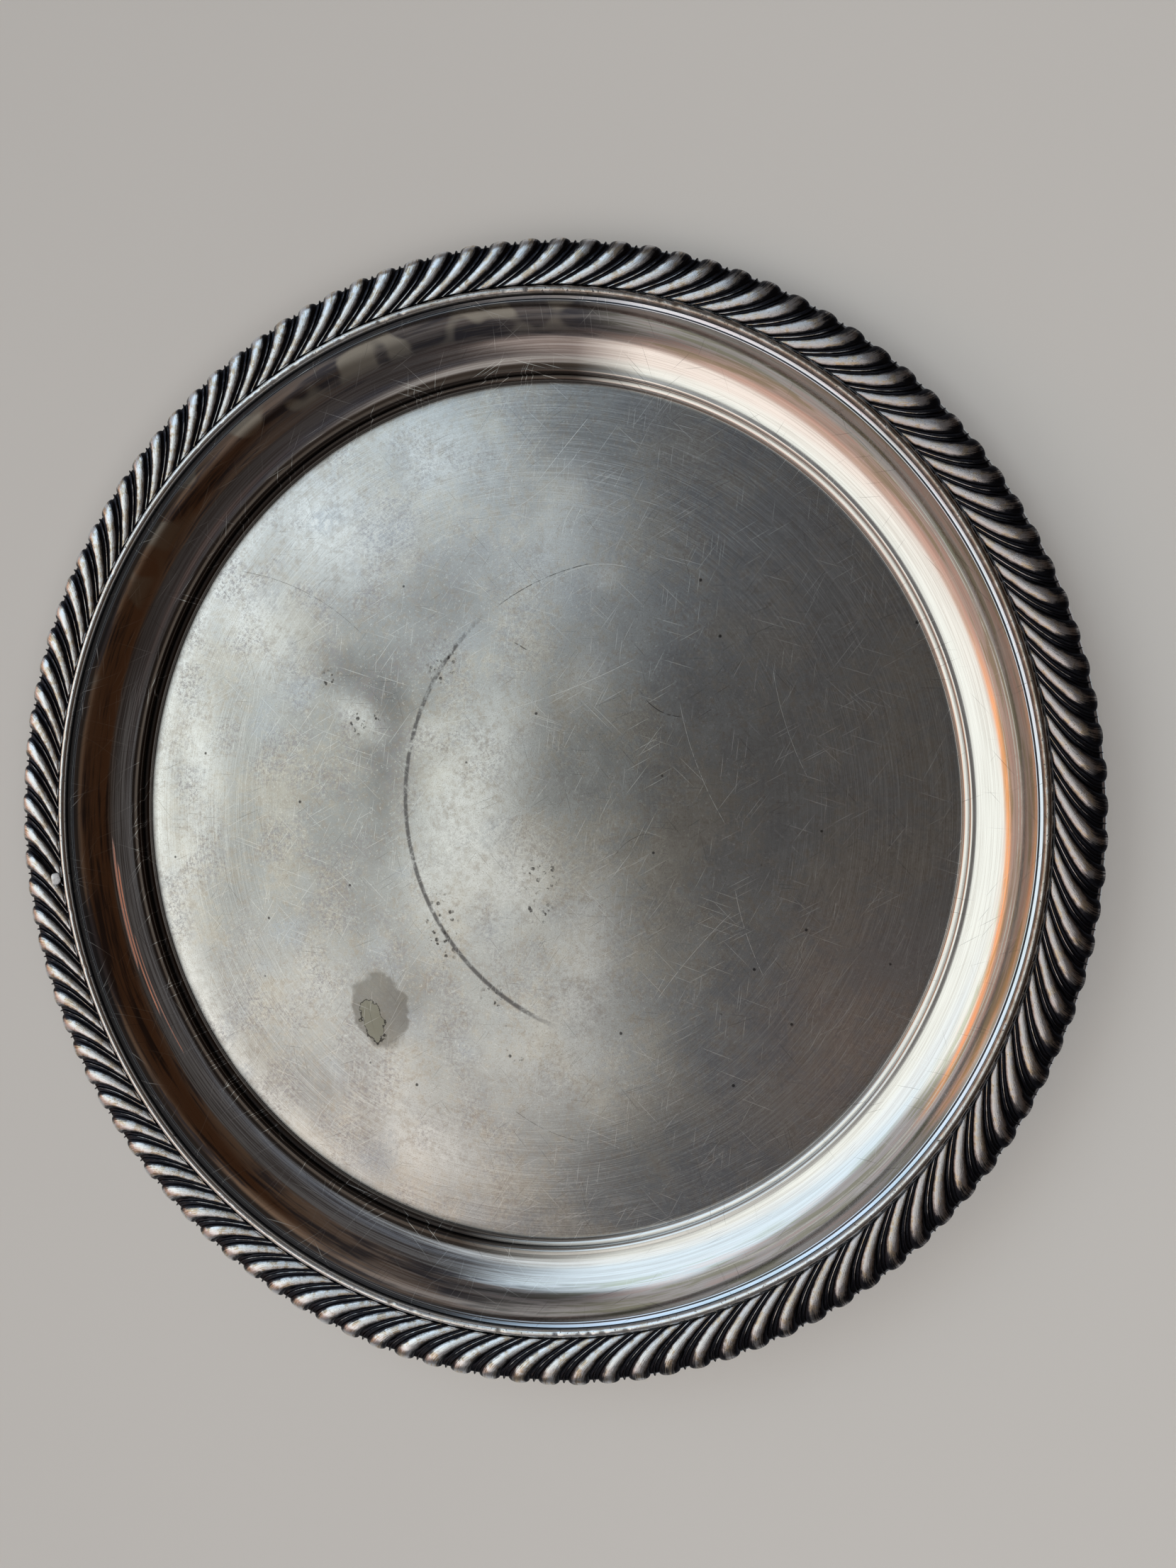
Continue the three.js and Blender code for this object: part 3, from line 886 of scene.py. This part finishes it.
def body_colour(n, f, marks):
    """The well and the cove, then the step, the ledge, the creases and the marks."""
    colour = n.mix(f.in_well, cove_colour(n, f), well_colour(n, f))
    on_step = n.between(f.radius, WELL_RADIUS, WELL_RADIUS + 0.8 * MM)
    under_ridge = n.between(f.radius, RIDGE_RADIUS + 1.7 * MM, RIDGE_RADIUS + 1.0 * MM)
    on_step = n.times(on_step, under_ridge)
    # Towards -X the step between well and cove is painted near black: painted shade.
    colour = n.mix(n.times(on_step, f.dirty_side, 0.96), colour, DARK_STEP)
    # A blue-white line painted round the lip is a painted highlight; towards -X it is painted
    # dark instead, a painted shadow.
    ledge = n.between(f.radius, COVE_EDGE - 0.2 * MM, COVE_EDGE + 0.2 * MM)
    colour = n.mix(n.times(ledge, 0.6), colour, BRIGHT_LEDGE)
    colour = n.mix(n.times(ledge, f.dirty_side, 0.8), colour, DARK_LEDGE)
    colour = n.mix(f.crease, colour, BLACKED)
    colour = n.mix(n.times(marks.stain, 0.62), colour, STAINED)
    colour = n.mix(n.times(marks.heart, 0.75), colour, STAIN_CORE)
    colour = n.mix(n.times(marks.crack, 0.9), colour, BLACKED)
    colour = n.mix(n.times(marks.scuff, 0.9), colour, SCUFFED)
    colour = n.mix(n.times(marks.light, 0.7), colour, HAZE)
    return n.mix(n.times(marks.dark, 0.85), colour, BLACKED)


def body_metal():
    material, n, shader = new_metal("aged_silver_body")
    f = body_fields(n)
    marks = SimpleNamespace()
    marks.light, cuts = body_scratches(n, f)
    marks.dark = n.highest(cuts, body_pits(n, f))
    scuff = n.stroke(f.xy, *FOOT_SCUFF)
    worn = n.between(n.plus(f.speckle, n.times(f.y, -1.5)), 0.3, 0.55)
    marks.scuff = n.times(scuff, worn, f.on_top)
    stain = n.spot(n.wander(f.xy, 240.0, 2.4 * MM), (-43.2, -57.6), (8.6, 10.8), 25, 0.1)
    heart = n.spot(n.wander(f.xy, 420.0, 1.8 * MM), (-45.6, -60.6), (3.3, 6.4), 22, 0.12)
    marks.stain = n.times(stain, f.on_top)
    marks.heart = n.times(heart, f.on_top)
    rise = n.between(marks.heart, 0.15, 0.5)
    marks.crack = n.times(rise, n.between(marks.heart, 0.95, 0.6))
    colour = body_colour(n, f, marks)
    # The bare copper and the painted ridge highlights are made partly non-metallic so they show
    # lit.
    bare = n.highest(n.times(f.copper, 0.75), n.times(f.ridges, 0.6))
    n.put(shader.inputs["Metallic"], n.math("SUBTRACT", 1.0, bare))

    rough = n.plus(n.times(f.in_well, 0.05), 0.11, n.times(f.pale, 0.07))
    rough = n.plus(rough, n.between(f.mottle, 0.3, 0.7, -0.01, 0.03))
    rough = n.plus(rough, n.between(f.fine_rings, 0.3, 0.7, -0.015, 0.02))
    rough = n.plus(rough, n.times(f.crease, 0.2), n.times(marks.stain, 0.12))
    rough = n.math("MAXIMUM", n.plus(rough, n.times(marks.light, 0.12)), 0.07)

    height = n.plus(n.times(f.rings, 0.4), n.times(f.fine_rings, 0.12))
    height = n.plus(height, n.times(f.grain, f.in_well, 0.4), n.times(f.sand, f.in_well, 0.4))
    finish_metal(n, shader, colour, rough, height, 0.006 * MM)
    return material


def strip_metal():
    material, n, shader = new_metal("oxidised_silver_border")
    place = n.position()
    recess = n.attribute("recess")
    inward = n.attribute("inward")
    across = n.attribute("across")
    shade = n.attribute("shade")
    x = n.split(place)[0]
    flow = n.join(n.times(across, 22.0), n.times(inward, 1.6), n.times(shade, 40.0))
    lines = n.noise(flow, 2.0, 4.0, 0.65)
    mottle = n.noise(place, 420.0, 4.0, 0.6)
    grain = n.noise(place, 2600.0, 3.0, 0.7)
    pits = n.cells(place, 900.0)

    # the outer ends towards +X are painted darker: painted shade
    sheltered = n.times(n.between(inward, 0.5, 0.1), n.between(x, -30 * MM, 110 * MM))
    worn = n.plus(recess, n.between(lines, 0.3, 0.7, -0.1, 0.12), n.times(sheltered, 0.3))
    worn = n.plus(worn, n.between(mottle, 0.3, 0.7, -0.08, 0.08))
    # Towards +X the crests are painted darker and greyer and the valleys a little less black:
    # painted shade.
    duller = n.between(x, -10 * MM, 120 * MM)
    worn = n.plus(worn, n.times(duller, -0.06))
    crest = n.mix(n.times(duller, 0.72), COOL_SILVER, DULL_CREST)
    black = n.between(worn, 0.06, 0.36)
    edge = n.times(n.between(worn, 0.0, 0.1), n.between(worn, 0.3, 0.14))
    colour = n.mix(n.between(worn, -0.05, 0.25, 0.0, 0.5), crest, GREYED)
    colour = n.mix(n.times(edge, n.between(mottle, 0.45, 0.6), 0.75), colour, BRASSY)
    colour = n.mix(black, colour, INKY)
    colour = n.mix(n.between(lines, 0.6, 0.75, 0.0, 0.3), colour, BROWNED)
    colour = n.mix(n.between(grain, 0.58, 0.8, 0.0, 0.35), colour, BROWNED)
    colour = n.mix(n.between(pits, 0.16, 0.06, 0.0, 0.5), colour, INKY)

    rough = n.plus(0.13, n.times(black, 0.1), n.between(mottle, 0.3, 0.7, -0.02, 0.05))
    rough = n.plus(rough, n.times(sheltered, 0.08), n.times(duller, 0.04))
    height = n.plus(n.times(lines, 1.2), n.times(grain, 0.15), n.times(mottle, 0.35))
    finish_metal(n, shader, colour, rough, height, 0.03 * MM)
    return material


def bead_metal():
    material, n, shader = new_metal("aged_silver_bead")
    place = n.position()
    x, y, z = n.split(place)
    radius = n.math("SQRT", n.plus(n.times(x, x), n.times(y, y)))
    round_x = n.times(n.math("DIVIDE", x, radius), 120.0)
    round_y = n.times(n.math("DIVIDE", y, radius), 120.0)
    nicks = n.noise(n.join(round_x, round_y, n.times(radius, 900.0)), 1.6, 3.0, 0.7)
    mottle = n.noise(place, 300.0, 4.0, 0.6)
    low = n.between(z, bead_high.z - 0.35 * MM, bead_low.z + 0.9 * MM)
    # Browner towards +X and +Y: part tarnish, part painted shade.
    brown_side = n.between(n.plus(x, n.times(y, 0.7)), 10 * MM, 110 * MM)
    colour = n.mix(n.between(mottle, 0.4, 0.7, 0.1, 0.5), COOL_SILVER, YELLOWED)
    brown = n.times(brown_side, n.between(mottle, 0.35, 0.6, 0.5, 0.85))
    colour = n.mix(brown, colour, BROWNED)
    colour = n.mix(n.times(low, 0.92), colour, INKY)
    colour = n.mix(n.between(nicks, 0.6, 0.7, 0.0, 0.85), colour, INKY)
    rough = n.plus(0.17, n.times(low, 0.15), n.between(mottle, 0.3, 0.7, -0.02, 0.05))
    height = n.plus(n.times(mottle, 0.5), n.times(n.between(nicks, 0.58, 0.75), -1.6))
    finish_metal(n, shader, colour, rough, height, 0.03 * MM)
    return material


def solder_metal(name):
    material, n, shader = new_metal(name)
    # Mostly non-metallic with a near-white blue-grey: a painted sheen over the solder's grey.
    shader.inputs["Metallic"].default_value = 0.35
    place = n.position()
    lumps = n.noise(place, 700.0, 3.0, 0.6)
    grain = n.noise(place, 3000.0, 2.0, 0.6)
    colour = n.mix(n.between(lumps, 0.4, 0.8), SOLDER_PALE, SOLDER_GREY)
    colour = n.mix(n.between(grain, 0.6, 0.8, 0.0, 0.4), colour, BROWNED)
    rough = n.between(lumps, 0.3, 0.7, 0.22, 0.42)
    height = n.plus(lumps, n.times(grain, 0.3))
    finish_metal(n, shader, colour, rough, height, 0.12 * MM)
    return material


# ---- Pieces ----

for piece, metal in [
    (spun_body(), body_metal()),
    (gadroon_strip(), strip_metal()),
    (bead_ring(), bead_metal()),
    (solder_drop(), solder_metal("solder_drop_metal")),
]:
    piece.data.materials.append(metal)

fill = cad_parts["border_solder_fill"]
fill.material_slots[0].material = solder_metal("solder_fill_metal")

# ---- Floor ----


def floor_material():
    material = bpy.data.materials.new("pale_floor")
    material.use_nodes = True
    n = Nodes(material.node_tree)
    shader = material.node_tree.nodes["Principled BSDF"]
    shader.inputs["Roughness"].default_value = 0.75
    tone = n.noise(n.position(), 3.0, 2.0, 0.5)
    n.put(shader.inputs["Base Color"], n.mix(tone, FLOOR_WARM, FLOOR_PALE))
    return material


FLOOR_REACH = 3.0
floor_z = UNDERSIDE - 0.15 * MM
floor_mesh = bpy.data.meshes.new("floor")
edge = [(x, y, floor_z) for x, y in arc((0, 0), FLOOR_REACH, 0, 357, 119)]
floor_mesh.from_pydata(edge, [], [tuple(range(len(edge)))])
floor = bpy.data.objects.new("floor", floor_mesh)
floor.data.materials.append(floor_material())
bpy.context.scene.collection.objects.link(floor)

# ---- Light ----

# The studio behind the panels: (degrees from overhead towards -X, colour).
STUDIO = [
    (-110, (0.12, 0.10, 0.09)),
    (-85, (0.05, 0.035, 0.026)),
    (-28, (0.048, 0.029, 0.019)),
    (-14, (0.095, 0.085, 0.078)),
    (4, (0.128, 0.118, 0.113)),
    (18, (0.135, 0.13, 0.13)),
    (45, (0.13, 0.12, 0.12)),
    (70, (0.20, 0.17, 0.16)),
    (85, (0.26, 0.21, 0.18)),
    (110, (0.22, 0.20, 0.19)),
]
# Soft panels, each painted over the last: the degrees towards -X where it starts and ends,
# how much those two edges lean, the degrees towards +Y, its softness, and its colour.
PANELS = [
    ((9, 18), (0.0, 0.0), (5, 22), 3, (0.150, 0.158, 0.180)),
    ((8.5, 19), (0.0, 0.0), (-22, -7), 2.5, (0.128, 0.134, 0.156)),
    ((2.5, 8.5), (0.0, 0.0), (-15, -7), 2.0, (0.25, 0.19, 0.17)),
    ((58, 90), (0.5, 0.5), (-42, 20), 5, (0.44, 0.32, 0.27)),
    ((50, 100), (0.0, 0.0), (15, 50), 4, (0.42, 0.41, 0.42)),
    ((19.3, 61.5), (0.0, 0.7), (-15, 16), 2.0, (1.08, 1.11, 1.05)),
    ((20.0, 54), (0.0, 0.0), (12, 44), 4, (0.88, 1.04, 1.16)),
    ((16.4, 54), (0.0, 0.0), (6, 12), 2.5, (1.00, 1.07, 1.10)),
    ((15.6, 61.5), (0.0, 0.7), (-15, -5), 2.2, (1.08, 1.06, 0.99)),
    ((21.0, 61.5), (0.0, 0.7), (-40, -13.5), 3.5, (1.10, 0.98, 0.90)),
    ((61.5, 74), (0.7, 0.7), (-34, -4), 5, (0.70, 0.47, 0.39)),
    ((61.5, 68.5), (0.7, 0.66), (-10, 20.5), 2.2, (1.25, 0.56, 0.25)),
]

# The paler wall just above the floor, all round, and what lies below the floor.
HORIZON = (0.38, 0.37, 0.36)
BELOW = (0.40, 0.395, 0.39)


def studio_world():
    """Everything the metal mirrors, painted by direction."""
    world = bpy.data.worlds.new("studio")
    bpy.context.scene.world = world
    world.use_nodes = True
    n = Nodes(world.node_tree)
    way = n.split(n.add("ShaderNodeTexCoord").outputs["Generated"])
    lean = n.math("DEGREES", n.math("ARCTAN2", n.times(way[0], -1.0), way[2]))
    rise = n.math("DEGREES", n.math("ARCSINE", way[1]))
    ramp = world.node_tree.nodes.new("ShaderNodeValToRGB")
    n.put(ramp.inputs[0], n.plus(n.times(lean, 1 / 360), 0.5))
    elements = ramp.color_ramp.elements
    while len(elements) < len(STUDIO):
        elements.new(0.5)
    for element, (degrees, colour) in zip(elements, STUDIO):
        element.position = 0.5 + degrees / 360
        element.color = (*colour, 1.0)
    height = n.math("DEGREES", n.math("ARCSINE", way[2]))
    haze = n.between(height, 26.0, 8.0, 0.0, 0.85)
    colour = n.mix(haze, ramp.outputs["Color"], HORIZON)
    for (start, end), (near_lean, far_lean), (low, high), soft, paint in PANELS:
        near = n.plus(lean, n.times(rise, -near_lean))
        far = n.plus(lean, n.times(rise, -far_lean))
        inside = n.times(
            n.between(near, start - soft, start + soft),
            n.between(far, end + soft, end - soft),
            n.between(rise, low - soft, low + soft),
            n.between(rise, high + soft, high - soft),
        )
        colour = n.mix(inside, colour, paint)
    colour = n.mix(n.between(height, 0.0, -5.0), colour, BELOW)
    background = world.node_tree.nodes["Background"]
    n.put(background.inputs["Color"], colour)
    background.inputs["Strength"].default_value = 1.0


def floor_wash():
    """A wide soft lamp that lights the floor and isn't mirrored in the metal."""
    lamp = bpy.data.lights.new("floor_wash", "AREA")
    lamp.shape = "RECTANGLE"
    lamp.size = 1.6
    lamp.size_y = 1.6
    lamp.energy = 14
    lamp.color = (1, 0.98, 0.96)
    holder = bpy.data.objects.new("floor_wash", lamp)
    holder.location = (0.5, -0.4, 1.6)
    towards_tray = -Vector(holder.location)
    holder.rotation_euler = towards_tray.to_track_quat("-Z", "Y").to_euler()
    holder.visible_glossy = False
    bpy.context.scene.collection.objects.link(holder)


studio_world()
floor_wash()

# ---- Camera ----

CAMERA_LENS = 32.34
CAMERA_SENSOR = 36.0
CAMERA_PLACE = (0.13152, 0.00924, 0.37047)
CAMERA_RIGHT = (0.95681, -0.00142, -0.29070)
CAMERA_BACK = (0.29070, 0.00468, 0.95680)

camera_data = bpy.data.cameras.new("camera")
camera_data.lens = CAMERA_LENS
camera_data.sensor_width = CAMERA_SENSOR
camera_data.clip_start = 0.01
camera = bpy.data.objects.new("camera", camera_data)
right = Vector(CAMERA_RIGHT)
back = Vector(CAMERA_BACK)
facing = Matrix([right, back.cross(right), back]).transposed()
camera.matrix_world = Matrix.Translation(CAMERA_PLACE) @ facing.to_4x4()
bpy.context.scene.collection.objects.link(camera)
bpy.context.scene.camera = camera

view = bpy.context.scene.view_settings
view.view_transform = "Standard"
view.look = "None"
